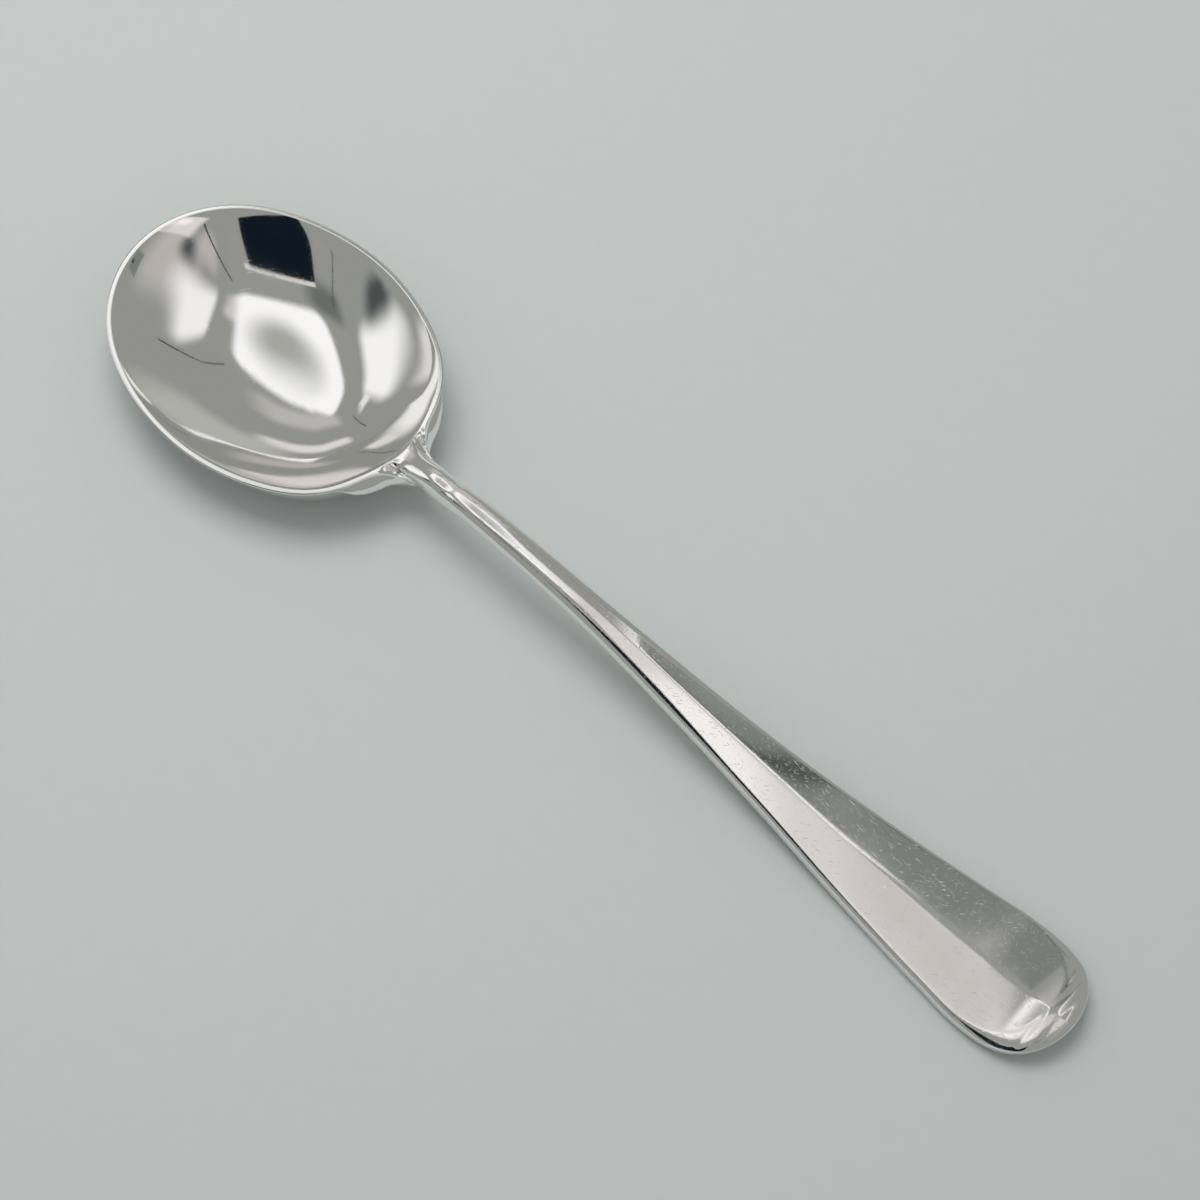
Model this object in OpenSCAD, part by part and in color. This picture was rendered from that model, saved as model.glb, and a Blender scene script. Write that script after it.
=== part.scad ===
// A polished silver soup spoon, lying on its bowl and on the underside of its handle.
// Plus X runs from the bowl to the handle end and plus Z is up.
// The origin is under the middle of the spoon, on the surface that it rests on.
// The bowl and its short neck are one raised piece, and the stem and blade are one forging.
// They meet in an oblique scarf joint with a thin layer of hard solder between them.
// A tapered drop is soldered to the back of the bowl, under the neck.

/* [Whole spoon] */
// Length from the bowl tip to the handle end
total_length = 178; // [165:1:215]

/* [Bowl] */
// Length of the bowl from its tip to the rim at the neck
bowl_length = 53.3; // [48:0.1:60]
// Widest measure across the rim
bowl_width = 42.2; // [36:0.1:48]
// Height of the rim above the resting surface at the tip
rim_height = 9.7; // [8:0.1:12]
// How much higher the rim stands at the neck than at the tip
rim_rise = 0.1; // [0:0.1:1.5]
// How far the rim dips between its tip and its neck
rim_dip = 0.6; // [0:0.1:1.2]
// Distance from the tip to the deepest point of the bowl
bowl_middle = 33; // [29:0.5:36]
// Thickness of the metal under the middle of the bowl
floor_wall = 1.1; // [0.8:0.05:1.6]
// Width of the flat face of the rim
rim_band = 0.75; // [0.5:0.05:1.2]
// Height of the outer edge of the rim
rim_edge = 0.3; // [0.2:0.05:0.5]
// Depth of the worn flat that the bowl rests on
bowl_wear = 0.13; // [0.09:0.01:0.2]

/* [Neck joint] */
// Distance from the rim to the middle of the joint
neck_length = 5.2; // [4:0.1:7]
// Width of the neck at the joint
neck_width = 4.3; // [3.6:0.1:5.2]
// Height of the neck at the joint
neck_height = 5.2; // [4:0.1:5.6]
// Height of the middle of the neck above the resting surface
neck_level = 8.8; // [8.4:0.05:10]
// Thickness of the solder layer, measured along the spoon
solder_layer = 0.15; // [0.1:0.01:0.3]

/* [Back of the bowl] */
// How far the heel swells out under the neck
heel_swell = 4.6; // [3:0.1:5.5]
// Greatest thickness of the drop on the back of the bowl
drop_thickness = 1.1; // [0.7:0.1:1.5]
// Thickness of the drop at its margin
drop_margin = 0.25; // [0.15:0.05:0.4]

/* [Handle] */
// Width of the stem at its narrowest
stem_width = 4.2; // [3.4:0.05:5]
// Height of the stem where it is roundest
stem_height = 3.4; // [2.8:0.1:4]
// Width that the long sides of the blade run out to
blade_width = 25.8; // [22:0.1:30]
// Thickness of the blade at its long edges
blade_edge = 2.2; // [1.6:0.05:2.8]
// Height of the middle ridge above the long edges
ridge_height = 0.8; // [0.4:0.05:1.2]
// Height of the highest point of the underside
arch_height = 8.7; // [7.5:0.1:12]
// Height of the underside at the handle end
end_lift = 2.5; // [1:0.1:4]
// Depth of the worn flat under the blade
blade_wear = 0.04; // [0.02:0.01:0.08]
// Radius of the rolled long edges
edge_round = 0.8; // [0.5:0.05:1.1]
// Length of the rolled lip at the handle end
lip_length = 4.2; // [3:0.1:6]
// Drop of the rolled lip at the handle end
lip_drop = 1.4; // [0.8:0.1:1.8]

/* [Hidden] */

// Harmonics that shape the rim outline, as shares of its half width
rim_shares = [1, -0.032, 0.030, -0.014, 0.009, -0.005];
rim_peak_share = 0.979;
// How the bowl rises from its middle to its rim: each power of the way out adds its share
inner_rise_shares = [0.45, 1.25, -0.85, 0.15];
outer_rise_shares = [0.60, 0.45, -0.25, 0.20];
heel_rise_shares = [0.42, 0.10, 0, 0.48];
round_power = 2;
wall_power = 4;
flank_power = 6;
inner_lip_power = 14;
outer_lip_power = 20;
heel_lip_power = 32;
heel_power = 2.2;

// Angles of the outline where the neck fillet starts and where the neck itself starts
fillet_start = 154;
neck_start = 174;
neck_end = 180;
// Steps of the bowl mesh
rim_steps = 30;
fillet_steps = 10;
inner_rings = 13;
outer_rings = 12;
neck_rows = 6;
// Places across the rim face, as shares of its width, and the small relief there
band_shares = [0, 0.15, 0.5, 0.85, 1];
relief_shares = [0.2, 0, 0, 0.1, 0.5];
rim_relief = 0.2;
// Share of the bowl wall at which the underside of the neck leaves it
heel_share = 0.85;
// Shares of the swell at the middle of the neck and at its sides
keel_swell_share = 0.35;
side_swell_share = 0.44;
// Powers of the neck fillets: a tight corner at the rim over a softer swell below it
corner_power = 7;
swell_rise_power = 1;
swell_fall_power = 3;
rise_power = 3;
lean_power = 8;
// How much of the step up to the neck is climbed early on the rim face
step_share = 0.5;
// Run of the scarf joint for each unit of height, and the handle sections that still lean
scarf_slope = 1;
lean_steps = 3;

// Steps across a section of the handle, from the middle to a long edge
flat_steps = 4;
round_steps = 5;
cross_steps = flat_steps + round_steps;
// Height of the upright side of the stem
stem_side_height = 0.3;
// Share of the stem section that is rounded
stem_round_share = 0.7;
// Share of the ridge that shows on the stem
stem_ridge_share = 0.15;
// Share of the width by which the underside swells
belly_share = 0.012;
// Least share of the half width that stays flat at the handle end
fold_least_share = 0.3;

// Stations along the handle, as shares of the way from the rim to the handle end
width_stations_share = [0, 0.1, 0.2, 0.3, 0.4, 0.5, 0.6, 0.7, 0.8, 0.87, 0.93, 1];
// How much of the way from the stem width to the blade width is reached at each of them
width_shares = [0.004, 0.004, 0.018, 0.04, 0.095, 0.172, 0.28, 0.418, 0.558, 0.656, 0.776, 1];
// Stations of the underside, and its height there as a share of the arch
height_stations_share = [0, 0.08, 0.15, 0.2, 0.3, 0.4, 0.5, 0.6, 0.7, 0.78, 0.86, 0.9, 0.95, 1];
height_shares = [0.85, 0.977, 1, 0.977, 0.874, 0.69, 0.466, 0.253, 0.069, 0.005, 0, 0, 0, 0];
// How much of the lift of the handle end is reached at each of them
lift_shares = [0, 0, 0, 0, 0, 0, 0, 0, 0, 0, 0, 0.03, 0.28, 1];
// Where the round end starts, and the power of its outline
round_end_share = 0.86;
end_power = 2.3;
// Where the round stem starts and stops turning into the ridged blade
blend_from_share = 0.15;
blend_to_share = 0.55;
// Steps of the handle mesh
long_steps = 44;
end_steps = 14;
// Share of the half width that is left at the flat of the handle end
last_share = 0.996;

half_width = bowl_width / 2 / rim_peak_share;
neck_x = bowl_length + neck_length;
seam_x = neck_x + solder_layer;
handle_run = total_length - bowl_length;
origin_x = total_length / 2;

function mix(a, b, f) = a + (b - a) * f;
function clamp01(f) = max(0, min(1, f));
function ease(f) = let (g = clamp01(f)) g * g * (3 - 2 * g);

// Smooth curve through values at uneven stations
function slope_at(xs, ys, i) =
    i == 0 ? (ys[1] - ys[0]) / (xs[1] - xs[0]) :
    i == len(xs) - 1 ? (ys[i] - ys[i - 1]) / (xs[i] - xs[i - 1]) :
    (ys[i + 1] - ys[i - 1]) / (xs[i + 1] - xs[i - 1]);
function span_of(xs, u, i = 0) = i >= len(xs) - 2 || u < xs[i + 1] ? i : span_of(xs, u, i + 1);
function curve(xs, ys, u) =
    let (i = span_of(xs, u), h = xs[i + 1] - xs[i], f = (u - xs[i]) / h)
    let (a = slope_at(xs, ys, i) * h, b = slope_at(xs, ys, i + 1) * h)
    ys[i] * (1 + 2 * f) * (1 - f) * (1 - f) + a * f * (1 - f) * (1 - f)
    + ys[i + 1] * f * f * (3 - 2 * f) - b * f * f * (1 - f);

// Bowl outline and heights
function rim_shape(t) = [for (k = [0:len(rim_shares) - 1]) sin((k + 1) * t)] * rim_shares;
function rim_point(t, inset) = [
    inset + (bowl_length / 2 - inset) * (1 - cos(t)),
    (half_width - inset) * rim_shape(t)
];
function rim_level(x) =
    let (f = x / bowl_length)
    rim_height + rim_rise * f - 4 * rim_dip * f * (1 - f);
function rise(shares, lip, r) =
    [pow(r, round_power), pow(r, wall_power), pow(r, flank_power), pow(r, lip)] * shares;
function inner_level(r, x) =
    floor_wall + (rim_level(x) - floor_wall) * rise(inner_rise_shares, inner_lip_power, r);
function outer_rise(r, t) =
    let (g = pow((1 - cos(t)) / 2, heel_power))
    rise(mix(outer_rise_shares, heel_rise_shares, g), mix(outer_lip_power, heel_lip_power, g), r);
function outer_level(r, x, t) =
    max(0, (rim_level(x) - rim_edge + bowl_wear) * outer_rise(r, t) - bowl_wear);

// Sizes of the handle section at a place along the spoon
function handle_share(x) = (x - bowl_length) / handle_run;
function end_turn(x, cut) =
    let (s = (handle_share(x) - round_end_share) * handle_run)
    let (run = (1 - round_end_share) * handle_run - cut)
    s <= 0 ? 1 : sqrt(max(0, 1 - pow(min(1, s / run), end_power)));
function side_half(x) =
    mix(stem_width, blade_width, curve(width_stations_share, width_shares, handle_share(x))) / 2;
function neck_pull(x) = ease((x - neck_x) / (2 * neck_length));
function handle_half(x) =
    mix(neck_width / 2, side_half(x), neck_pull(x)) * end_turn(x, 0);
function fold_half(x) = max(0, (side_half(x) - edge_round) * end_turn(x, lip_length));
function blade_part(x) =
    ease((handle_share(x) - blend_from_share) / (blend_to_share - blend_from_share));
function under_level(x) =
    arch_height * curve(height_stations_share, height_shares, handle_share(x))
    + end_lift * curve(height_stations_share, lift_shares, handle_share(x)) - blade_wear;
function neck_under(x) =
    mix(neck_level - neck_height / 2, under_level(x), neck_pull(x));
function middle_height(x) =
    mix(mix(neck_height, stem_height, neck_pull(x)), blade_edge + ridge_height, blade_part(x));
function flat_half(x) =
    let (w = handle_half(x))
    mix((1 - stem_round_share) * w, max(fold_half(x), fold_least_share * w), blade_part(x));
function lip_start(x) = clamp01((x - total_length + lip_length) / lip_length);
function roll(q) = 1 - sqrt(max(0, 1 - q * q));

// Half widths across a section, from the middle to the long edge
function across(x) =
    let (w = handle_half(x), f = flat_half(x))
    concat(
        [for (k = [0:flat_steps]) f * k / flat_steps],
        [for (k = [1:round_steps]) f + (w - f) * sin(90 * k / round_steps)]
    );
function edge_turn(x, y) =
    let (w = handle_half(x), f = flat_half(x), g = min(fold_half(x), f))
    let (inner = mix(f, g, blade_part(x)), q0 = lip_start(x))
    q0 + (1 - q0) * clamp01((y - inner) / (w - inner));
function top_level(x, y) =
    let (w = handle_half(x), b = blade_part(x), h = middle_height(x))
    let (ridge = mix(stem_ridge_share, 1, b) * ridge_height * y / max(w, side_half(x) / 2))
    let (deep = mix(h / 2 - stem_side_height / 2 - stem_ridge_share * ridge_height,
        mix(edge_round, lip_drop, lip_start(x)), b))
    neck_under(x) + h - ridge - deep * roll(edge_turn(x, y));
function under_round(x, y) =
    let (w = handle_half(x), f = flat_half(x), b = blade_part(x))
    let (q = clamp01((y - f) / (w - f)))
    mix((middle_height(x) - stem_side_height) / 2, edge_round / 3, b) * roll(q);
function low_level(x, y) =
    let (w = handle_half(x))
    max(0, neck_under(x) + belly_share * w * pow(y / w, 2)) + under_round(x, y);

// One closed section as points, from one long edge over the top and back underneath
function signed(list) = concat([for (k = [len(list) - 1:-1:1]) -list[k]], list);
function lean(x, z, scarf) = x + scarf * scarf_slope * (z - neck_level);
function section(x, scarf, place) =
    let (ys = signed(across(x)))
    concat(
        [for (y = ys) let (z = top_level(x, abs(y))) [lean(place, z, scarf), y, z]],
        [for (k = [len(ys) - 1:-1:0])
            let (y = ys[k], z = low_level(x, abs(y))) [lean(place, z, scarf), y, z]]
    );

// Triangles between rings of points with the same count, closed round each ring
function ring_faces(rings, n, start = 0) = [
    for (i = [0:rings - 2], k = [0:n - 1])
        let (a = start + i * n + k, b = start + i * n + (k + 1) % n)
        each [[a, b, a + n], [b, b + n, a + n]]
];
function strip_cap(start, n, turn) =
    let (h = n / 2)
    [for (k = [0:h - 2])
        let (a = start + k, b = start + k + 1)
        let (c = start + n - 1 - k, d = c - 1)
        each (turn ? [[a, c, b], [b, c, d]] : [[a, b, c], [b, d, c]])];

module lofted(rings) {
    n = len(rings[0]);
    polyhedron(
        points = [for (r = rings) each r],
        faces = concat(
            ring_faces(len(rings), n),
            strip_cap(0, n, true),
            strip_cap((len(rings) - 1) * n, n, false)
        ),
        convexity = 6
    );
}

// Columns of the bowl mesh on one side, each as its outline angle
joint_ys = across(neck_x);
neck_half = joint_ys[cross_steps];
half_columns = rim_steps + fillet_steps + cross_steps;
function column_angle(j) =
    j <= rim_steps ? fillet_start * j / rim_steps :
    j <= rim_steps + fillet_steps ? mix(fillet_start, neck_start, (j - rim_steps) / fillet_steps) :
    neck_end - (neck_end - neck_start) * joint_ys[half_columns - j] / neck_half;
function is_joint(j) = j >= rim_steps + fillet_steps;
function fillet_share(j) = clamp01((j - rim_steps) / fillet_steps);

// Outer end of a column: on the rim, on the fillet or on the joint face
function outer_plan(j) =
    is_joint(j) ? [neck_x, joint_ys[half_columns - j]] :
    let (f = fillet_share(j), side = [mix(bowl_length, neck_x, f), neck_half])
    mix(rim_point(column_angle(j), 0), side, pow(f, corner_power));
function outer_top(j) =
    let (p = outer_plan(j), edge = top_level(neck_x, neck_half))
    is_joint(j) ? let (z = top_level(neck_x, p[1])) [lean(neck_x, z, 1), p[1], z] :
    let (z = mix(rim_level(min(p[0], bowl_length)), edge, pow(fillet_share(j), rise_power)))
    [lean(p[0], z, pow(fillet_share(j), lean_power)), p[1], z];
function outer_low(j) =
    let (p = outer_plan(j))
    let (edge = top_level(neck_x, neck_half) - low_level(neck_x, neck_half))
    is_joint(j) ? let (z = low_level(neck_x, p[1])) [lean(neck_x, z, 1), p[1], z] :
    let (t = outer_top(j), z = t[2] - mix(rim_edge, edge, fillet_share(j)))
    [lean(p[0], z, pow(fillet_share(j), lean_power)), p[1], z];

// One column of the bowl as points from the middle of the floor out and back underneath
function inner_point(j, i) =
    let (r = sin(90 * i / inner_rings), e = rim_point(column_angle(j), rim_band))
    let (x = mix(bowl_middle, e[0], r))
    [x, e[1] * r, inner_level(r, e[0])];
function band_point(j, m) =
    let (a = inner_point(j, inner_rings), b = outer_top(j), f = band_shares[m])
    let (g = fillet_share(j), climb = (1 + step_share) * f - step_share * f * f)
    [mix(a[0], b[0], f), mix(a[1], b[1], f),
        mix(a[2], b[2], mix(f, climb, g)) - (1 - g) * rim_relief * relief_shares[m]];
function outer_share(j) = mix(1, heel_share, ease(fillet_share(j)));
function outer_point(j, i) =
    let (r = sin(90 * i / outer_rings) * outer_share(j), e = rim_point(column_angle(j), 0))
    [mix(bowl_middle, e[0], r), e[1] * r, outer_level(r, e[0], column_angle(j))];
function swell_share(j) =
    let (f = fillet_share(j))
    is_joint(j)
    ? mix(keel_swell_share, side_swell_share, pow(joint_ys[half_columns - j] / neck_half, 2))
    : pow(f, swell_rise_power) * (1 - (1 - side_swell_share) * pow(f, swell_fall_power));
function side_point(j, k) =
    let (a = outer_low(j), b = outer_point(j, outer_rings), f = k / neck_rows)
    let (face = rim_edge - rim_relief * relief_shares[len(relief_shares) - 1])
    let (up = (1 - fillet_share(j)) * face * (neck_rows - k) / (neck_rows + 1))
    let (out = 4 * f * (1 - f) * heel_swell * swell_share(j))
    [mix(a[0], b[0], f) + out, mix(a[1], b[1], f), mix(a[2], b[2], f) + up];
function column(j) = concat(
    [for (i = [1:inner_rings]) inner_point(j, i)],
    [for (m = [1:len(band_shares) - 2]) band_point(j, m)],
    [band_point(j, len(band_shares) - 1)],
    [for (k = [0:neck_rows - 1]) side_point(j, k)],
    [for (i = [outer_rings:-1:1]) outer_point(j, i)]
);
function mirrored(list) = [for (p = list) [p[0], -p[1], p[2]]];
function bowl_columns() = concat(
    [for (j = [0:half_columns]) column(j)],
    [for (j = [half_columns - 1:-1:1]) mirrored(column(j))]
);

module bowl() {
    color("silver")
    translate([-origin_x, 0, 0]) {
        cols = bowl_columns();
        count = len(cols);
        n = len(cols[0]);
        points = concat(
            [for (c = cols) each c],
            [[bowl_middle, 0, floor_wall], [bowl_middle, 0, 0]]
        );
        top = count * n;
        sheet = [
            for (j = [0:count - 1], k = [0:n - 2])
                let (a = j * n + k, b = ((j + 1) % count) * n + k)
                each [[a, a + 1, b], [b, a + 1, b + 1]]
        ];
        floor_fan = [for (j = [0:count - 1]) [top, j * n, ((j + 1) % count) * n]];
        back_fan = [for (j = [0:count - 1]) [top + 1, ((j + 1) % count) * n + n - 1, j * n + n - 1]];
        polyhedron(points = points, faces = concat(sheet, floor_fan, back_fan), convexity = 6);
    }
}

// The drop lies on the back of the bowl over the columns of the neck and its fillets
drop_from_share = 0.42;
drop_full_share = 0.67;
drop_side_steps = 5;
drop_first = ceil(drop_from_share * outer_rings);
function drop_bump(i, v) =
    let (along = clamp01((i - drop_first) / (outer_rings - drop_first) / drop_full_share))
    mix(drop_margin, drop_thickness, sin(90 * along) * (1 - v * v));
function drop_row(i) =
    let (last = half_columns, first = rim_steps + drop_side_steps)
    let (side = [for (j = [first:last]) outer_point(j, i)])
    let (back = [for (j = [last - 1:-1:first]) outer_point(j, i)])
    let (all = concat(side, mirrored(back)), n = len(all))
    concat(
        [for (k = [0:n - 1]) all[k]],
        [for (k = [n - 1:-1:0]) all[k] - [0, 0, drop_bump(i, 2 * k / (n - 1) - 1)]]
    );

module heel_drop() {
    color("gainsboro")
    translate([-origin_x, 0, 0])
    lofted([for (i = [outer_rings:-1:drop_first]) drop_row(i)]);
}

module solder_seam() {
    color("lightgray")
    translate([-origin_x, 0, 0])
    lofted([section(neck_x, 1, neck_x), section(neck_x, 1, seam_x)]);
}

// Places of the handle sections, closer together round the end
long_end = bowl_length + round_end_share * handle_run;
function station(i) =
    i <= long_steps ? mix(seam_x, long_end, i / long_steps) :
    mix(long_end, total_length, last_share * sin(90 * (i - long_steps) / end_steps));

module handle() {
    color("whitesmoke")
    translate([-origin_x, 0, 0])
    lofted(concat(
        [section(neck_x, 1, seam_x)],
        [for (i = [1:long_steps + end_steps])
            let (x = station(i), last = i == long_steps + end_steps)
            section(x, 1 - ease(i / lean_steps), last ? total_length : x)]
    ));
}

bowl();
heel_drop();
solder_seam();
handle();
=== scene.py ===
# Polished silver soup spoon, lying on a pale table under a soft studio tent.
# Sizes are in millimetres from the bowl tip, and become metres where a mesh or a lamp is placed.
import math

import bmesh
import bpy
from mathutils import Matrix, Vector


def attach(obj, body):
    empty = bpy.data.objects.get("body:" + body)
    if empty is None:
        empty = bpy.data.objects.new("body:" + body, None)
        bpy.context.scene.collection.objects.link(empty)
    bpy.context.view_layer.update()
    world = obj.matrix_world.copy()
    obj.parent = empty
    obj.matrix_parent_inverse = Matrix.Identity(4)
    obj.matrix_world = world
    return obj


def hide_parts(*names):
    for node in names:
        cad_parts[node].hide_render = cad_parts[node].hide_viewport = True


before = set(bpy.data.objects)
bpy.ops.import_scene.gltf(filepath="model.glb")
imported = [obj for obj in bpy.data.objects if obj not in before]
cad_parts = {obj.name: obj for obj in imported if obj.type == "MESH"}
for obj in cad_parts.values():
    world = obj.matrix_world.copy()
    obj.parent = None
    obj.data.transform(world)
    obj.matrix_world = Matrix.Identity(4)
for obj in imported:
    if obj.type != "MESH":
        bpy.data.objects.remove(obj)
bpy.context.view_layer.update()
mm = 0.001

spoon = {
    "length": 178,
    "middle": 89,  # the frame's origin is under the middle of the length
}


# small sums that every piece uses
def mix(a, b, f):
    return a + (b - a) * f


def mixPoints(a, b, f):
    return [mix(p, q, f) for p, q in zip(a, b)]


def keepShare(f):
    return max(0.0, min(1.0, f))


def ease(f):
    g = keepShare(f)
    return g * g * (3 - 2 * g)


# drop of a quarter round: 0 at its start and 1 at its end
def roll(q):
    return 1 - math.sqrt(max(0.0, 1 - q * q))


def sinDeg(a):
    return math.sin(math.radians(a))


def cosDeg(a):
    return math.cos(math.radians(a))


def slopeAt(xs, ys, i):
    if i == 0:
        return (ys[1] - ys[0]) / (xs[1] - xs[0])
    if i == len(xs) - 1:
        return (ys[i] - ys[i - 1]) / (xs[i] - xs[i - 1])
    return (ys[i + 1] - ys[i - 1]) / (xs[i + 1] - xs[i - 1])


# a smooth curve through the given heights, read at u
def curveThrough(xs, ys, u):
    i = 0
    while i < len(xs) - 2 and u >= xs[i + 1]:
        i += 1
    span = xs[i + 1] - xs[i]
    f = (u - xs[i]) / span
    startSlope, endSlope = slopeAt(xs, ys, i) * span, slopeAt(xs, ys, i + 1) * span
    return (ys[i] * (1 + 2 * f) * (1 - f) ** 2 + startSlope * f * (1 - f) ** 2
            + ys[i + 1] * f * f * (3 - 2 * f) - endSlope * f * f * (1 - f))


sheet = {"mergeDistance": 2e-7, "sharpAngle": 40, "jointNear": 0.02}
tiny = 1e-9  # keeps a division from running into zero


# a flat grid is bent into a piece: placeAt gives each grid point its place on the surface
def makeSheet(name, columns, rows, placeAt, capEnds=False, isSharp=None):
    mesh = bmesh.new()
    bmesh.ops.create_grid(mesh, x_segments=columns, y_segments=rows, size=0.5)
    for v in mesh.verts:
        x, y, z = placeAt(round((v.co.x + 0.5) * columns), round((v.co.y + 0.5) * rows))
        v.co = Vector((x - spoon["middle"], y, z)) * mm
    bmesh.ops.remove_doubles(mesh, verts=mesh.verts, dist=sheet["mergeDistance"])
    if capEnds:
        openEdges = [e for e in mesh.edges if e.is_boundary]
        for e in openEdges:
            e.smooth = False
        bmesh.ops.holes_fill(mesh, edges=openEdges, sides=0)
    bmesh.ops.recalc_face_normals(mesh, faces=mesh.faces)
    for f in mesh.faces:
        f.smooth = True
    for e in mesh.edges if isSharp else []:
        turns = e.calc_face_angle(0) > math.radians(sheet["sharpAngle"])
        if turns and all(isSharp(v.co / mm) for v in e.verts):
            e.smooth = False
    return finishMesh(name, mesh)


def finishMesh(name, mesh):
    data = bpy.data.meshes.new(name)
    mesh.to_mesh(data)
    mesh.free()
    obj = bpy.data.objects.new(name, data)
    bpy.context.scene.collection.objects.link(obj)
    return obj


# the forged stem and blade
handle = {
    "neckWidth": 4.3, "neckHeight": 5.2, "neckLevel": 8.8, "neckLength": 5.2, "solderLayer": 0.15,
    "bowlEnd": 53.3,
    "stemWidth": 4.2, "stemHeight": 3.4, "bladeWidth": 25.8, "bladeEdge": 2.2, "ridgeHeight": 0.8,
    "archHeight": 8.7, "endLift": 2.5, "bladeWear": 0.04, "edgeRound": 0.8, "lipLength": 4.2, "lipDrop": 1.4,
    "stemSide": 0.3, "stemRoundShare": 0.7, "stemRidgeShare": 0.15, "bellyShare": 0.012,
    "foldLeastShare": 0.3, "ridgeLeastShare": 0.5, "underRoundShare": 1 / 3,
    "roundEndShare": 0.86, "endPower": 2.3, "blendFrom": 0.15, "blendTo": 0.55, "lastShare": 0.9998,
    "widthPlaces": [0, 0.1, 0.2, 0.3, 0.4, 0.5, 0.6, 0.7, 0.8, 0.87, 0.93, 1],
    "widthShares": [0.004, 0.004, 0.018, 0.04, 0.095, 0.172, 0.28, 0.418, 0.558, 0.656, 0.776, 1],
    "heightPlaces": [0, 0.08, 0.15, 0.2, 0.3, 0.4, 0.5, 0.6, 0.7, 0.78, 0.86, 0.9, 0.95, 1],
    "heightShares": [0.85, 0.977, 1, 0.977, 0.874, 0.69, 0.466, 0.253, 0.069, 0.005, 0, 0, 0, 0],
    "liftShares": [0, 0, 0, 0, 0, 0, 0, 0, 0, 0, 0, 0.03, 0.28, 1],
    "ridgeRound": 0.16, "lipRidgeRound": 6, "ridgeFadeShare": 0.6,  # the ridge softens toward the lip
    "flatSteps": 4, "roundSteps": 5, "longSteps": 44, "endSteps": 14, "leanSteps": 3,
}
h = handle
neckX = h["bowlEnd"] + h["neckLength"]
seamX = neckX + h["solderLayer"]
handleRun = spoon["length"] - h["bowlEnd"]
crossSteps = h["flatSteps"] + h["roundSteps"]


def handleShare(x):
    return (x - h["bowlEnd"]) / handleRun


def endTurn(x, cut):
    s = (handleShare(x) - h["roundEndShare"]) * handleRun
    run = (1 - h["roundEndShare"]) * handleRun - cut
    return 1.0 if s <= 0 else math.sqrt(max(0.0, 1 - min(1.0, s / run) ** h["endPower"]))


def sideHalf(x):
    widening = curveThrough(h["widthPlaces"], h["widthShares"], handleShare(x))
    return mix(h["stemWidth"], h["bladeWidth"], widening) / 2


def neckPull(x):
    return ease((x - neckX) / (2 * h["neckLength"]))


def handleHalf(x):
    return mix(h["neckWidth"] / 2, sideHalf(x), neckPull(x)) * endTurn(x, 0)


def foldHalf(x):
    return max(0.0, (sideHalf(x) - h["edgeRound"]) * endTurn(x, h["lipLength"]))


def bladePart(x):
    return ease((handleShare(x) - h["blendFrom"]) / (h["blendTo"] - h["blendFrom"]))


def underLevel(x):
    s = handleShare(x)
    return (h["archHeight"] * curveThrough(h["heightPlaces"], h["heightShares"], s)
            + h["endLift"] * curveThrough(h["heightPlaces"], h["liftShares"], s) - h["bladeWear"])


def neckUnder(x):
    return mix(h["neckLevel"] - h["neckHeight"] / 2, underLevel(x), neckPull(x))


def middleHeight(x):
    stem = mix(h["neckHeight"], h["stemHeight"], neckPull(x))
    return mix(stem, h["bladeEdge"] + h["ridgeHeight"], bladePart(x))


def flatHalf(x):
    w = handleHalf(x)
    return mix((1 - h["stemRoundShare"]) * w, max(foldHalf(x), h["foldLeastShare"] * w), bladePart(x))


def lipStart(x):
    return keepShare((x - spoon["length"] + h["lipLength"]) / h["lipLength"])


# half width at a step across the section, 0 at the ridge and crossSteps at the long edge
def acrossAt(x, k):
    w, f = handleHalf(x), flatHalf(x)
    if k <= h["flatSteps"]:
        return f * k / h["flatSteps"]
    return f + (w - f) * sinDeg(90 * (k - h["flatSteps"]) / h["roundSteps"])


def topLevel(x, y):
    w, f, blade = handleHalf(x), flatHalf(x), bladePart(x)
    inner = mix(f, min(foldHalf(x), f), blade)
    q0 = lipStart(x)
    q = q0 + (1 - q0) * keepShare((y - inner) / max(w - inner, tiny))
    mid = middleHeight(x)
    slope = mix(h["stemRidgeShare"], 1, blade) * h["ridgeHeight"] / max(w, h["ridgeLeastShare"] * sideHalf(x))
    soft = mix(h["ridgeRound"], h["lipRidgeRound"], ease(q0 / h["ridgeFadeShare"]))
    ridge = slope * (math.sqrt(y * y + soft ** 2) - soft) + slope * (soft - h["ridgeRound"]) / 2
    deep = mix(mid / 2 - h["stemSide"] / 2 - h["stemRidgeShare"] * h["ridgeHeight"],
               mix(h["edgeRound"], h["lipDrop"], q0), blade)
    return neckUnder(x) + mid - ridge - deep * roll(q)


def lowLevel(x, y):
    w, f, blade = handleHalf(x), flatHalf(x), bladePart(x)
    q = keepShare((y - f) / max(w - f, tiny))
    belly = max(0.0, neckUnder(x) + h["bellyShare"] * w * (y / w) ** 2)
    deep = mix((middleHeight(x) - h["stemSide"]) / 2, h["underRoundShare"] * h["edgeRound"], blade)
    return belly + deep * roll(q)


# the scarf joint leans by its share of the height over the neck's middle
def leanTo(x, z, share):
    return x + share * (z - h["neckLevel"])


# points round the section, top first, then down one side, underneath and up the other side
longEnd = h["bowlEnd"] + h["roundEndShare"] * handleRun
handleRows = {"along": 5, "top": 72, "side": 4, "under": 36}
alongCount = (h["longSteps"] + h["endSteps"]) * handleRows["along"]
ringCount = handleRows["top"] + handleRows["under"] + 2 * handleRows["side"]


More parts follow.
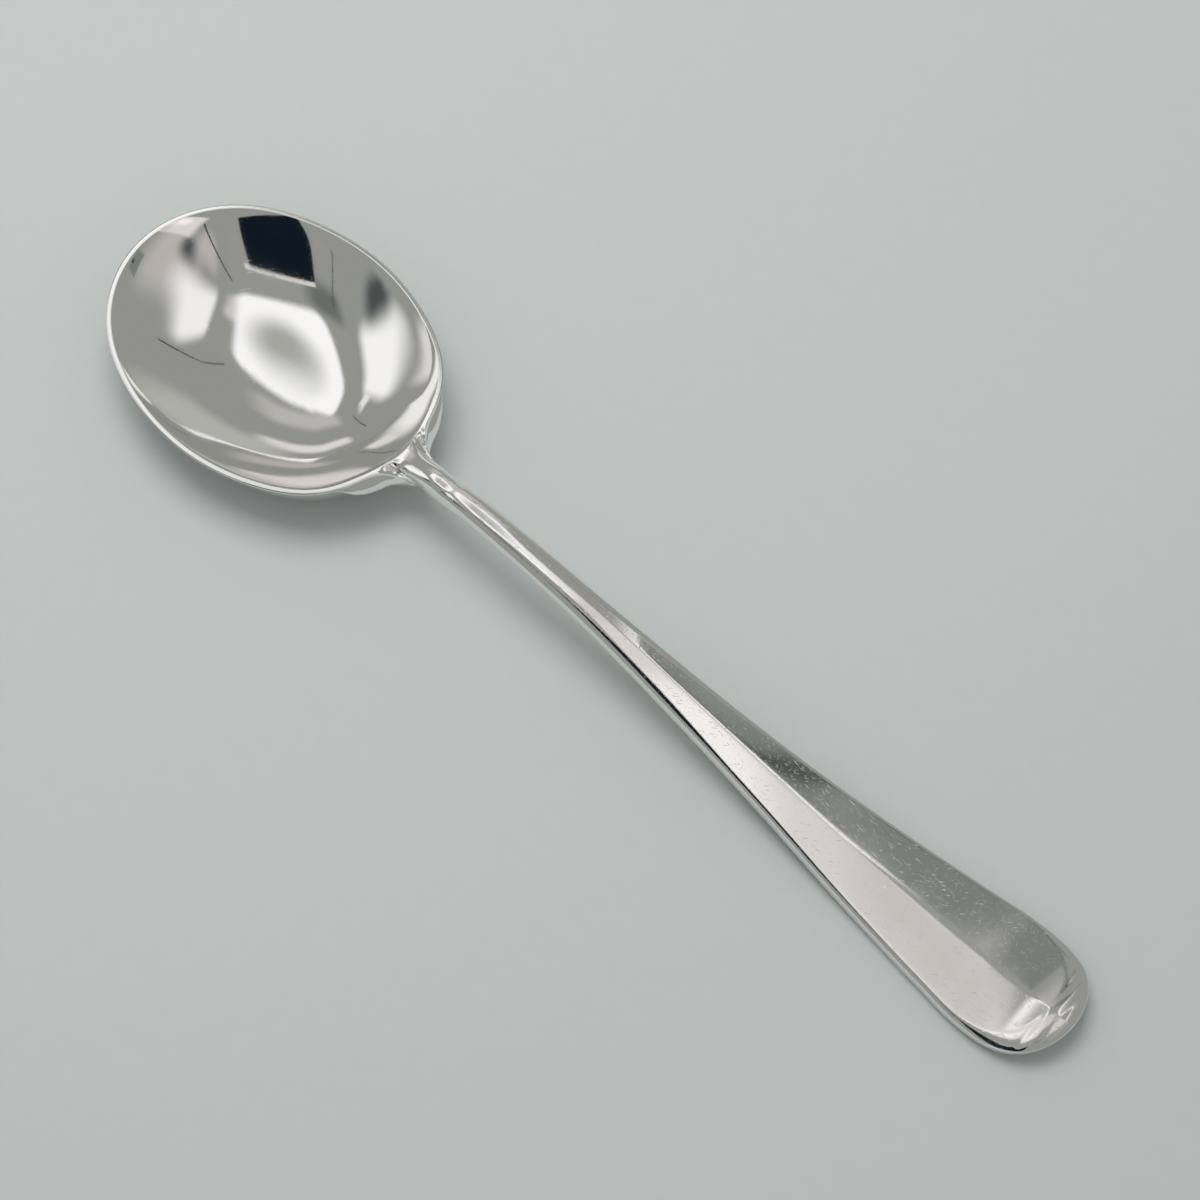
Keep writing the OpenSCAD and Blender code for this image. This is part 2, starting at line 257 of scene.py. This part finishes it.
def ringPlace(x, row):
    row = row % ringCount
    if row <= handleRows["top"]:
        k = (2 * row / handleRows["top"] - 1) * crossSteps
        y = acrossAt(x, abs(k))
        return math.copysign(y, k), topLevel(x, y)
    row -= handleRows["top"]
    if row < handleRows["side"]:
        y = handleHalf(x)
        return y, mix(topLevel(x, y), lowLevel(x, y), row / handleRows["side"])
    row -= handleRows["side"]
    if row <= handleRows["under"]:
        k = (1 - 2 * row / handleRows["under"]) * crossSteps
        y = acrossAt(x, abs(k))
        return math.copysign(y, k), lowLevel(x, y)
    row -= handleRows["under"]
    y = handleHalf(x)
    return -y, mix(lowLevel(x, y), topLevel(x, y), row / handleRows["side"])


def handlePlace(column, row):
    i = column / handleRows["along"]
    if i <= h["longSteps"]:
        x = mix(seamX, longEnd, i / h["longSteps"])
    else:
        x = mix(longEnd, spoon["length"], h["lastShare"] * sinDeg(90 * (i - h["longSteps"]) / h["endSteps"]))
    y, z = ringPlace(mix(neckX, x, keepShare(i)), row)
    shown = spoon["length"] if column == alongCount else x
    return leanTo(shown, z, 1 - ease(i / h["leanSteps"])), y, z


# the raised bowl with its neck
bowl = {
    "length": 53.3, "width": 42.2, "rimHeight": 9.7, "rimRise": 0.1, "rimDip": 0.6, "middle": 33,
    "floorWall": 1.1, "rimBand": 0.75, "rimEdge": 0.3, "wear": 0.13,
    "rimShares": [1, -0.032, 0.030, -0.014, 0.009, -0.005], "rimPeakShare": 0.979,
    "innerShares": [0.45, 1.25, -0.85, 0.15], "outerShares": [0.60, 0.45, -0.25, 0.20],
    "heelShares": [0.42, 0.10, 0, 0.48], "roundPower": 2, "wallPower": 4, "flankPower": 6,
    "innerLip": 14, "outerLip": 20, "heelLip": 32, "heelPower": 2.2,
    "filletStart": 154, "neckStart": 174, "neckEnd": 180, "rimSteps": 30, "filletSteps": 10,
    "heelShare": 0.85, "heelSwell": 4.6, "keelSwell": 0.35, "sideSwell": 0.44,
    "cornerPower": 7, "swellRise": 1, "swellFall": 3, "leanPower": 8,
    "neckRiseShare": 1.0, "neckRoundShare": 0.4,
    "neckReach": 0.7, "reachStart": 158,  # the inside runs on a little way into the neck
    "innerRound": [0.15, 0.04], "outerRound": [0.3, 0.1],  # rim edges: share of the band, depth
    "sideDropShare": 6 / 7, "columnsPerStep": 3,
}
b = bowl
halfWidth = b["width"] / 2 / b["rimPeakShare"]
neckHalf = acrossAt(neckX, crossSteps)
halfColumns = b["rimSteps"] + b["filletSteps"] + crossSteps


def rimPoint(t, inset):
    shape = sum(s * sinDeg((k + 1) * t) for k, s in enumerate(b["rimShares"]))
    return [inset + (b["length"] / 2 - inset) * (1 - cosDeg(t)), (halfWidth - inset) * shape]


def rimLevel(x):
    f = x / b["length"]
    return b["rimHeight"] + b["rimRise"] * f - 4 * b["rimDip"] * f * (1 - f)


def riseAt(shares, lip, r):
    powers = (b["roundPower"], b["wallPower"], b["flankPower"], lip)
    return sum(share * r ** power for share, power in zip(shares, powers))


def outerLevel(r, x, t):
    g = ((1 - cosDeg(t)) / 2) ** b["heelPower"]
    shares = mixPoints(b["outerShares"], b["heelShares"], g)
    lip = mix(b["outerLip"], b["heelLip"], g)
    return max(0.0, (rimLevel(x) - b["rimEdge"] + b["wear"]) * riseAt(shares, lip, r) - b["wear"])


def columnAngle(c):
    if c <= b["rimSteps"]:
        return b["filletStart"] * c / b["rimSteps"]
    if c <= b["rimSteps"] + b["filletSteps"]:
        return mix(b["filletStart"], b["neckStart"], (c - b["rimSteps"]) / b["filletSteps"])
    return b["neckEnd"] - (b["neckEnd"] - b["neckStart"]) * acrossAt(neckX, halfColumns - c) / neckHalf


def isJoint(c):
    return c >= b["rimSteps"] + b["filletSteps"]


def filletShare(c):
    return keepShare((c - b["rimSteps"]) / b["filletSteps"])


def outerPlan(c):
    if isJoint(c):
        return [neckX, acrossAt(neckX, halfColumns - c)]
    f = filletShare(c)
    side = [mix(b["length"], neckX, f), neckHalf]
    return mixPoints(rimPoint(columnAngle(c), 0), side, f ** b["cornerPower"])


# how far along the neck a column ends: 0 at the rim and 1 at the joint
def neckShare(c):
    if isJoint(c):
        return 1.0
    return keepShare((outerPlan(c)[0] - b["length"]) / h["neckLength"])


# top of the neck: its middle rises to the stem while its sides drop early into the round
def neckTop(u, x, y):
    rim = rimLevel(min(x, b["length"]))
    middle, edge = topLevel(neckX, 0), topLevel(neckX, neckHalf)
    fall = (middle - topLevel(neckX, min(y, neckHalf))) / (middle - edge)
    ridge = mix(rim, middle, ease(u / b["neckRiseShare"]))
    side = mix(rim, edge, ease(u / b["neckRoundShare"]))
    return mix(ridge, side, fall)


def outerTop(c):
    p = outerPlan(c)
    z = neckTop(neckShare(c), p[0], p[1])
    return [leanTo(p[0], z, filletShare(c) ** b["leanPower"]), p[1], z]


def outerLow(c):
    p = outerPlan(c)
    if isJoint(c):
        z = lowLevel(neckX, p[1])
        return [leanTo(neckX, z, 1), p[1], z]
    edge = topLevel(neckX, neckHalf) - lowLevel(neckX, neckHalf)
    z = outerTop(c)[2] - mix(b["rimEdge"], edge, filletShare(c))
    return [leanTo(p[0], z, filletShare(c) ** b["leanPower"]), p[1], z]


# the inside of the bowl: f runs from the middle of the floor to the rim along column c
def innerPoint(c, f):
    r = sinDeg(90 * f)
    t = columnAngle(c)
    e = rimPoint(t, b["rimBand"])
    level = b["floorWall"] + (rimLevel(e[0]) - b["floorWall"]) * riseAt(b["innerShares"], b["innerLip"], r)
    reach = b["neckReach"] * ease((t - b["reachStart"]) / (b["neckEnd"] - b["reachStart"]))
    return [mix(b["middle"], e[0] + reach, r), e[1] * r, level]


# the narrow flat face of the rim and the top of the neck
def facePoint(c, f):
    a, top, g = innerPoint(c, 1), outerTop(c), filletShare(c)
    x, y = mix(a[0], top[0], f), mix(a[1], top[1], f)
    z = mix(mix(a[2], top[2], f), neckTop(f * neckShare(c), x, y), g)
    inFrom, inDeep = b["innerRound"]
    outFrom, outDeep = b["outerRound"]
    relief = inDeep * max(0.0, 1 - f / inFrom) ** 2 + outDeep * max(0.0, 1 - (1 - f) / outFrom) ** 2
    return [x, y, z - (1 - g) * relief]


# the back of the bowl
def outerPoint(c, f):
    r = sinDeg(90 * f) * mix(1, b["heelShare"], ease(filletShare(c)))
    t = columnAngle(c)
    e = rimPoint(t, 0)
    return [mix(b["middle"], e[0], r), e[1] * r, outerLevel(r, e[0], t)]


def swellShare(c):
    f = filletShare(c)
    if isJoint(c):
        return mix(b["keelSwell"], b["sideSwell"], (acrossAt(neckX, halfColumns - c) / neckHalf) ** 2)
    return f ** b["swellRise"] * (1 - (1 - b["sideSwell"]) * f ** b["swellFall"])


# the rim's edge, and the side of the neck that swells into the heel
def sidePoint(c, f):
    a, low = outerLow(c), outerPoint(c, 1)
    up = (1 - filletShare(c)) * (b["rimEdge"] - b["outerRound"][1]) * (1 - f) * b["sideDropShare"]
    out = 4 * f * (1 - f) * b["heelSwell"] * swellShare(c)
    return [mix(a[0], low[0], f) + out, mix(a[1], low[1], f), mix(a[2], low[2], f) + up]


bowlRows = [("inner", 52), ("face", 20), ("joint", 1), ("side", 18), ("outer", 44)]
bowlRowCount = sum(n for _, n in bowlRows)
bowlColumns = 2 * halfColumns * b["columnsPerStep"]


def bowlPlace(column, row):
    c = 2 * halfColumns * column / bowlColumns
    side = 1 if c <= halfColumns else -1
    c = c if side > 0 else 2 * halfColumns - c
    for part, count in bowlRows:
        if row <= count:
            break
        row -= count
    f = row / count
    if part == "inner":
        p = innerPoint(c, f)
    elif part == "face":
        p = facePoint(c, f)
    elif part == "joint" or part == "side":
        p = sidePoint(c, f if part == "side" else 0)
    else:
        p = outerPoint(c, 1 - f)
    return p[0], side * p[1], p[2]


# the flat joint face of the neck keeps a crisp edge
def onJoint(p):
    return abs(p.x + spoon["middle"] - leanTo(neckX, p.z, 1)) < sheet["jointNear"]


bowlPiece = makeSheet("bowlBody", bowlColumns, bowlRowCount, bowlPlace, isSharp=onJoint)
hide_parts("bowl")
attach(bowlPiece, "root")
print("bowl made")


# the thin layer of hard solder in the scarf joint
def solderPlace(column, row):
    y, z = ringPlace(neckX, row)
    return leanTo(mix(neckX, seamX, column), z, 1), y, z


solderPiece = makeSheet("solderRing", 1, ringCount, solderPlace, capEnds=True)
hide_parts("solder_seam")
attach(solderPiece, "root")
print("solder made")

handlePiece = makeSheet("handleForging", alongCount, ringCount, handlePlace, capEnds=True)
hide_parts("handle")
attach(handlePiece, "root")
print("handle made")


# an sRGB hex colour as linear light
def hexColour(text):
    parts = [int(text[i:i + 2], 16) / 255 for i in (0, 2, 4)]
    return [p / 12.92 if p <= 0.04045 else ((p + 0.055) / 1.055) ** 2.4 for p in parts] + [1.0]


def addNode(tree, kind, settings=None, links=None):
    node = tree.nodes.new(kind)
    for key, value in (settings or {}).items():
        if key in node.inputs.keys() or isinstance(key, int):
            node.inputs[key].default_value = value
        else:
            setattr(node, key, value)
    for key, source in (links or {}).items():
        tree.links.new(source, node.inputs[key])
    return node


def newMaterial(name):
    material = bpy.data.materials.new(name)
    material.use_nodes = True
    material.node_tree.nodes.clear()
    return material, material.node_tree


# hairline scratches and a patchy haze; each scratch row gives its turn, width, length and strength
silverWear = {
    "fewSpan": 0.12, "depth": 0.02, "detail": 1.0,
    "haze": 6, "hazeDetail": 3.0, "hazeFrom": 0.3, "hazeTo": 0.7,
}


# sterling silver, raised and polished by hand: a clear mirror with a faint haze and hairline wear
def polishedSilver(name, look):
    material, tree = newMaterial(name)
    place = addNode(tree, "ShaderNodeTexCoord").outputs["Object"]
    bump = None
    for turn, narrow, long, amount in look["scratches"]:
        perLength, perWidth = 1 / (long * mm), 1 / (narrow * mm)
        turned = addNode(tree, "ShaderNodeMapping", {"Rotation": (0, 0, math.radians(turn))},
                         {"Vector": place})
        stretch = addNode(tree, "ShaderNodeMapping", {"Scale": (perLength, perWidth, perWidth)},
                          {"Vector": turned.outputs[0]})
        lines = addNode(tree, "ShaderNodeTexNoise", {"Scale": 1.0, "Detail": silverWear["detail"]},
                        {"Vector": stretch.outputs[0]})
        few = addNode(tree, "ShaderNodeMapRange",
                      {"From Min": look["fewFrom"], "From Max": look["fewFrom"] + silverWear["fewSpan"]},
                      {"Value": lines.outputs[0]})
        settings = {"Strength": amount, "Distance": silverWear["depth"] * mm}
        links = {"Height": few.outputs[0]}
        if bump:
            links["Normal"] = bump.outputs[0]
        bump = addNode(tree, "ShaderNodeBump", settings, links)
    haze = addNode(tree, "ShaderNodeTexNoise",
                   {"Scale": 1 / (silverWear["haze"] * mm), "Detail": silverWear["hazeDetail"]},
                   {"Vector": place})
    rough = addNode(tree, "ShaderNodeMapRange",
                    {"From Min": silverWear["hazeFrom"], "From Max": silverWear["hazeTo"],
                     "To Min": look["rough"][0], "To Max": look["rough"][1]},
                    {"Value": haze.outputs[0]})
    shader = addNode(tree, "ShaderNodeBsdfPrincipled",
                     {"Base Color": hexColour(look["colour"]), "Metallic": 1.0},
                     {"Roughness": rough.outputs[0], "Normal": bump.outputs[0]})
    addNode(tree, "ShaderNodeOutputMaterial", {}, {"Surface": shader.outputs[0]})
    return material


bowlLook = {"colour": "f6f5f3", "rough": (0.03, 0.06), "fewFrom": 0.66,
            "scratches": [(20, 0.16, 3.0, 0.05), (-55, 0.16, 2.5, 0.05)]}
handleLook = {"colour": "f6f4f3", "rough": (0.07, 0.12), "fewFrom": 0.68,
              "scratches": [(8, 0.18, 2.0, 0.3), (-35, 0.18, 1.6, 0.3), (70, 0.18, 1.3, 0.25)]}
solderLook = {"colour": "f1eee6", "rough": (0.08, 0.12), "fewFrom": 0.66, "scratches": [(15, 0.15, 2.0, 0.1)]}
bowlSilver = polishedSilver("polishedSterlingSilverBowl", bowlLook)
handleSilver = polishedSilver("polishedSterlingSilverHandle", handleLook)
solderSilver = polishedSilver("polishedHardSolder", solderLook)
for obj, material in ((bowlPiece, bowlSilver), (handlePiece, handleSilver),
                      (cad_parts["heel_drop"], bowlSilver), (solderPiece, solderSilver)):
    obj.data.materials.clear()
    obj.data.materials.append(material)
print("silver finished")

# the light tent, in millimetres: right, back and up from a foot under the bowl
tent = {
    "yaw": 22.3, "foot": 27, "right": 192, "left": 608, "back": 502, "front": 2100, "height": 900,
    "seamWidth": 7, "panelSteps": 12,
    "wallColour": "949791", "ceilingColour": "969893", "seamColour": "23282a",
}
tentAlong = Vector((cosDeg(tent["yaw"]), sinDeg(tent["yaw"]), 0))
tentBack = Vector((-sinDeg(tent["yaw"]), cosDeg(tent["yaw"]), 0))
tentFoot = Vector((tent["foot"] - spoon["middle"], 0, 0))


def tentPlace(p):
    return tentFoot + tentAlong * p[0] + tentBack * p[1] + Vector((0, 0, p[2]))


# a flat glowing panel through four corner places, seen in the silver alone
def makePanel(name, corners, material):
    mesh = bmesh.new()
    mesh.loops.layers.uv.new("panel")
    steps = tent["panelSteps"]
    bmesh.ops.create_grid(mesh, x_segments=steps, y_segments=steps, size=0.5, calc_uvs=True)
    for v in mesh.verts:
        f, g = v.co.x + 0.5, v.co.y + 0.5
        nearSide, farSide = mixPoints(corners[0], corners[1], f), mixPoints(corners[3], corners[2], f)
        v.co = tentPlace(mixPoints(nearSide, farSide, g)) * mm
    panel = finishMesh(name, mesh)
    panel.visible_camera = False
    panel.visible_diffuse = False
    panel.visible_shadow = False
    panel.data.materials.append(material)


# coordinates along the tent's own right, back and up, in millimetres
def tentCoordinates(tree):
    place = addNode(tree, "ShaderNodeTexCoord").outputs["Object"]
    moved = addNode(tree, "ShaderNodeMapping", {"Location": -tentFoot * mm}, {"Vector": place})
    turned = addNode(tree, "ShaderNodeMapping",
                     {"Rotation": (0, 0, -math.radians(tent["yaw"])), "Scale": (1 / mm, 1 / mm, 1 / mm)},
                     {"Vector": moved.outputs[0]})
    return turned.outputs[0]


# 1 within a distance of a box and 0 beyond a second distance
def patchShare(tree, coords, patch):
    kind = "ShaderNodeVectorMath"
    off = addNode(tree, kind, {"operation": "SUBTRACT", 1: patch["centre"]}, {0: coords})
    size = addNode(tree, kind, {"operation": "ABSOLUTE"}, {0: off.outputs[0]})
    over = addNode(tree, kind, {"operation": "SUBTRACT", 1: patch["half"]}, {0: size.outputs[0]})
    past = addNode(tree, kind, {"operation": "MAXIMUM", 1: (0, 0, 0)}, {0: over.outputs[0]})
    far = addNode(tree, kind, {"operation": "LENGTH"}, {0: past.outputs[0]})
    fadeFrom, fadeTo = patch["fade"]
    fade = addNode(tree, "ShaderNodeMapRange",
                   {"interpolation_type": "SMOOTHSTEP", "From Min": fadeFrom, "From Max": fadeTo,
                    "To Min": 1.0, "To Max": 0.0}, {"Value": far.outputs["Value"]})
    return fade.outputs[0]


# a glowing cloth with soft patches on it, clear outside its outline where it has one
def glowMaterial(name, colour, patches=(), outline=None):
    material, tree = newMaterial(name)
    if outline:
        coords = addNode(tree, "ShaderNodeUVMap", {"uv_map": "panel"}).outputs[0]
    elif patches:
        coords = tentCoordinates(tree)
    shade = None
    for patch in patches:
        settings = {"data_type": "RGBA", 6: hexColour(colour), 7: hexColour(patch["colour"])}
        links = {0: patchShare(tree, coords, patch)}
        if shade:
            links[6] = shade
        shade = addNode(tree, "ShaderNodeMix", settings, links).outputs[2]
    glow = addNode(tree, "ShaderNodeEmission", {"Color": hexColour(colour), "Strength": 1.0},
                   {"Color": shade} if shade else {}).outputs[0]
    if outline:
        clear = addNode(tree, "ShaderNodeBsdfTransparent").outputs[0]
        shown = patchShare(tree, coords, outline)
        glow = addNode(tree, "ShaderNodeMixShader", {}, {0: shown, 1: clear, 2: glow}).outputs[0]
    addNode(tree, "ShaderNodeOutputMaterial", {}, {"Surface": glow})
    return material


endless = 1e5  # a patch that doesn't end along this direction
ceilingPatches = [
    {"centre": (-430, -390, 0), "half": (60, 50, endless), "fade": (0, 150), "colour": "6c6f6b"},
    {"centre": (60, 90, 0), "half": (55, 40, endless), "fade": (20, 90), "colour": "cfcccb"},
]
rightPatches = [
    {"centre": (0, 30, 390), "half": (endless, 60, 70), "fade": (0, 130), "colour": "b9b7b2"},
    {"centre": (0, 190, 580), "half": (endless, 85, 110), "fade": (5, 120), "colour": "f6f5f2"},
    {"centre": (0, -110, 600), "half": (endless, 20, 40), "fade": (0, 90), "colour": "b9b6b1"},
    {"centre": (0, -40, 455), "half": (endless, 5, 5), "fade": (0, 80), "colour": "4c5253"},
]
leftPatches = [
    {"centre": (0, -20, 470), "half": (endless, 150, 120), "fade": (5, 180), "colour": "fbfbf8"},
    {"centre": (0, -375, 440), "half": (endless, 20, 40), "fade": (0, 150), "colour": "4a5050"},
    {"centre": (0, 300, 560), "half": (endless, 50, 30), "fade": (0, 60), "colour": "e8e6e2"},
    {"centre": (0, -20, 60), "half": (endless, 80, 20), "fade": (0, 120), "colour": "dedcd8"},
]
backPatches = [
    {"centre": (-300, 0, 670), "half": (130, endless, 50), "fade": (0, 140), "colour": "bbbab5"},
    {"centre": (-290, 0, 230), "half": (160, endless, 20), "fade": (0, 70), "colour": "e0ddd9"},
    {"centre": (-20, 0, 120), "half": (70, endless, 30), "fade": (0, 130), "colour": "b4b6af"},
]
right, left, back, front, high = tent["right"], -tent["left"], tent["back"], -tent["front"], tent["height"]
makePanel("tentCeiling", [(left, front, high), (right, front, high), (right, back, high), (left, back, high)],
          glowMaterial("ceilingCloth", tent["ceilingColour"], ceilingPatches))
makePanel("tentRight", [(right, front, 0), (right, back, 0), (right, back, high), (right, front, high)],
          glowMaterial("rightCloth", tent["wallColour"], rightPatches))
makePanel("tentLeft", [(left, front, 0), (left, back, 0), (left, back, high), (left, front, high)],
          glowMaterial("leftCloth", tent["wallColour"], leftPatches))
makePanel("tentBack", [(left, back, 0), (right, back, 0), (right, back, high), (left, back, high)],
          glowMaterial("backCloth", tent["wallColour"], backPatches))

# a dark opening in the front of the ceiling, with a pale edge on its near side
opening = {
    "near": [(84, -262), (-370, -495)], "far": [(185, -650), (-520, -1750)],
    "drop": 4, "edge": 34, "past": 30, "dark": "0e1822", "pale": "d4d5d0",
}
nearRight, nearLeft = opening["near"]
farRight, farLeft = opening["far"]
openingLevel = high - opening["drop"]
edgeRight = nearRight[0] + opening["past"]
makePanel("tentOpening", [corner + (openingLevel,) for corner in (nearRight, nearLeft, farLeft, farRight)],
          glowMaterial("openingDark", opening["dark"]))
makePanel("openingEdge", [(edgeRight, nearRight[1], openingLevel), (nearLeft[0], nearLeft[1], openingLevel),
                          (nearLeft[0], nearLeft[1] + opening["edge"], openingLevel),
                          (edgeRight, nearRight[1] + opening["edge"], openingLevel)],
          glowMaterial("openingEdgeCloth", opening["pale"]))

# the soft lamp box low over the bowl: a bright ring round a greyer middle
softBox = {
    "corners": [(53, -9, 300), (-123, -100, 300), (-192, 220, 300), (14, 150, 300)], "colour": "ffffff",
    "middle": {"centre": (0.43, 0.53, 0), "half": (0.01, 0.01, 1), "fade": (0.05, 0.36), "colour": "aaaba5"},
    "outline": {"centre": (0.5, 0.5, 0), "half": (0.33, 0.33, 1), "fade": (0.06, 0.16)},
}
makePanel("softBox", softBox["corners"],
          glowMaterial("softBoxCloth", softBox["colour"], [softBox["middle"]], softBox["outline"]))

# two low cards over the blade: a pale one for the near face of its ridge, a greyer one for the far face
nearCard = {
    "centre": (88, -41, 150), "half": (44, 30), "colour": "dcd9d5",
    "patches": [
        {"centre": (0.45, 0.38, 0), "half": (0.04, 0.05, 1), "fade": (0, 0.22), "colour": "fcfaf7"},
        {"centre": (0.72, 0.75, 0), "half": (0.02, 0.02, 1), "fade": (0, 0.2), "colour": "c8c5c0"},
    ],
    "outline": {"centre": (0.5, 0.5, 0), "half": (0.36, 0.36, 1), "fade": (0, 0.12)},
}
farCard = {
    "centre": (125, 60, 150), "half": (20, 22), "colour": "7b807a",
    "patches": [{"centre": (138, 64, 150), "half": (5, 2, 1), "fade": (0, 5), "colour": "363d3e"}],
    "outline": None,
}


def makeCard(name, card):
    cx, cy, cz = card["centre"]
    along, deep = card["half"]
    corners = [(cx + p * along, cy + q * deep, cz) for p, q in ((-1, -1), (1, -1), (1, 1), (-1, 1))]
    makePanel(name, corners, glowMaterial(name + "Cloth", card["colour"], card["patches"], card["outline"]))


makeCard("nearCard", nearCard)
makeCard("farCard", farCard)

# seams of the tent, as narrow dark strips
seams = [
    [(188, 340, 337), (188, 397, 431), (155, 496, 638), (61, 496, 855)],
    [(188, -183, 442), (188, -121, 753), (174, -91, 894)],
    [(-491, -390, 894), (-526, -556, 894), (-560, -678, 894), (-600, -860, 850)],
    [(-602, 439, 596), (-602, 410, 285)],
]
seamMaterial = glowMaterial("tentSeamTape", tent["seamColour"])
for k, seam in enumerate(seams):
    for m in range(len(seam) - 1):
        start, end = Vector(seam[m]), Vector(seam[m + 1])
        aside = (end - start).cross(start + end).normalized() * tent["seamWidth"] / 2
        corners = [list(p) for p in (start - aside, start + aside, end + aside, end - aside)]
        makePanel("tentSeam%d_%d" % (k, m), corners, seamMaterial)

# a pale matt card with a fine grain
floor = {
    "colour": "c2c7c5", "deepColour": "bfc4c2", "half": 2500, "grain": 3, "grainDetail": 4.0, "rough": 0.7,
}
floorMesh = bmesh.new()
bmesh.ops.create_grid(floorMesh, x_segments=1, y_segments=1, size=floor["half"] * mm)
floorPiece = finishMesh("studioFloor", floorMesh)
floorMaterial, floorTree = newMaterial("paleMattCard")
floorPlace = addNode(floorTree, "ShaderNodeTexCoord").outputs["Object"]
grain = addNode(floorTree, "ShaderNodeTexNoise",
                {"Scale": 1 / (floor["grain"] * mm), "Detail": floor["grainDetail"]}, {"Vector": floorPlace})
mottle = addNode(floorTree, "ShaderNodeMix",
                 {"data_type": "RGBA", 6: hexColour(floor["colour"]), 7: hexColour(floor["deepColour"])},
                 {0: grain.outputs[0]})
floorShader = addNode(floorTree, "ShaderNodeBsdfPrincipled", {"Roughness": floor["rough"]},
                      {"Base Color": mottle.outputs[2]})
addNode(floorTree, "ShaderNodeOutputMaterial", {}, {"Surface": floorShader.outputs[0]})
floorPiece.data.materials.append(floorMaterial)

# one broad soft lamp over the spoon, and an even pale world
lamp = {"place": (-120, 150, 590), "size": (420, 360), "watts": 2.15}
light = bpy.data.lights.new("softLamp", "AREA")
light.shape = "RECTANGLE"
light.size, light.size_y = lamp["size"][0] * mm, lamp["size"][1] * mm
light.energy = lamp["watts"]
lampObject = bpy.data.objects.new("softLamp", light)
lampObject.location = tentPlace(lamp["place"]) * mm
lampObject.rotation_euler = (0, 0, math.radians(tent["yaw"]))
lampObject.visible_glossy = False
bpy.context.scene.collection.objects.link(lampObject)

sky = {"colour": "cdd2d0", "lighting": 0.8, "seen": 1.0}
world = bpy.data.worlds.new("paleStudio")
world.use_nodes = True
worldTree = world.node_tree
worldTree.nodes.clear()
path = addNode(worldTree, "ShaderNodeLightPath")
seen = addNode(worldTree, "ShaderNodeMath", {"operation": "MAXIMUM"},
               {0: path.outputs["Is Camera Ray"], 1: path.outputs["Is Glossy Ray"]})
skyStrength = addNode(worldTree, "ShaderNodeMapRange", {"To Min": sky["lighting"], "To Max": sky["seen"]},
                      {"Value": seen.outputs[0]})
skyGlow = addNode(worldTree, "ShaderNodeBackground", {"Color": hexColour(sky["colour"])},
                  {"Strength": skyStrength.outputs[0]})
addNode(worldTree, "ShaderNodeOutputWorld", {}, {"Surface": skyGlow.outputs[0]})
bpy.context.scene.world = world
bpy.context.scene.view_settings.view_transform = "Standard"
print("studio set")

# the photo's own viewing angle
view = {
    "place": (130.144, -141.174, 416.398), "azimuth": 42.021, "elevation": 64.6686, "roll": 0.492,
    "lens": 96.011, "sensor": 36, "clip": (0.01, 20),
}
azimuth, elevation, tilt = view["azimuth"], view["elevation"], view["roll"]
level = cosDeg(elevation)
backward = Vector((sinDeg(azimuth) * level, -cosDeg(azimuth) * level, sinDeg(elevation)))
sideways = Vector((cosDeg(azimuth), sinDeg(azimuth), 0))
upward = backward.cross(sideways)
across = sideways * cosDeg(tilt) + upward * sinDeg(tilt)
up = upward * cosDeg(tilt) - sideways * sinDeg(tilt)
camera = bpy.data.objects.new("camera", bpy.data.cameras.new("camera"))
camera.data.lens = view["lens"]
camera.data.sensor_width = view["sensor"]
camera.data.clip_start, camera.data.clip_end = view["clip"]
cameraTurn = Matrix((across, up, backward)).transposed().to_4x4()
camera.matrix_world = Matrix.Translation(Vector(view["place"]) * mm) @ cameraTurn
bpy.context.scene.collection.objects.link(camera)
bpy.context.scene.camera = camera
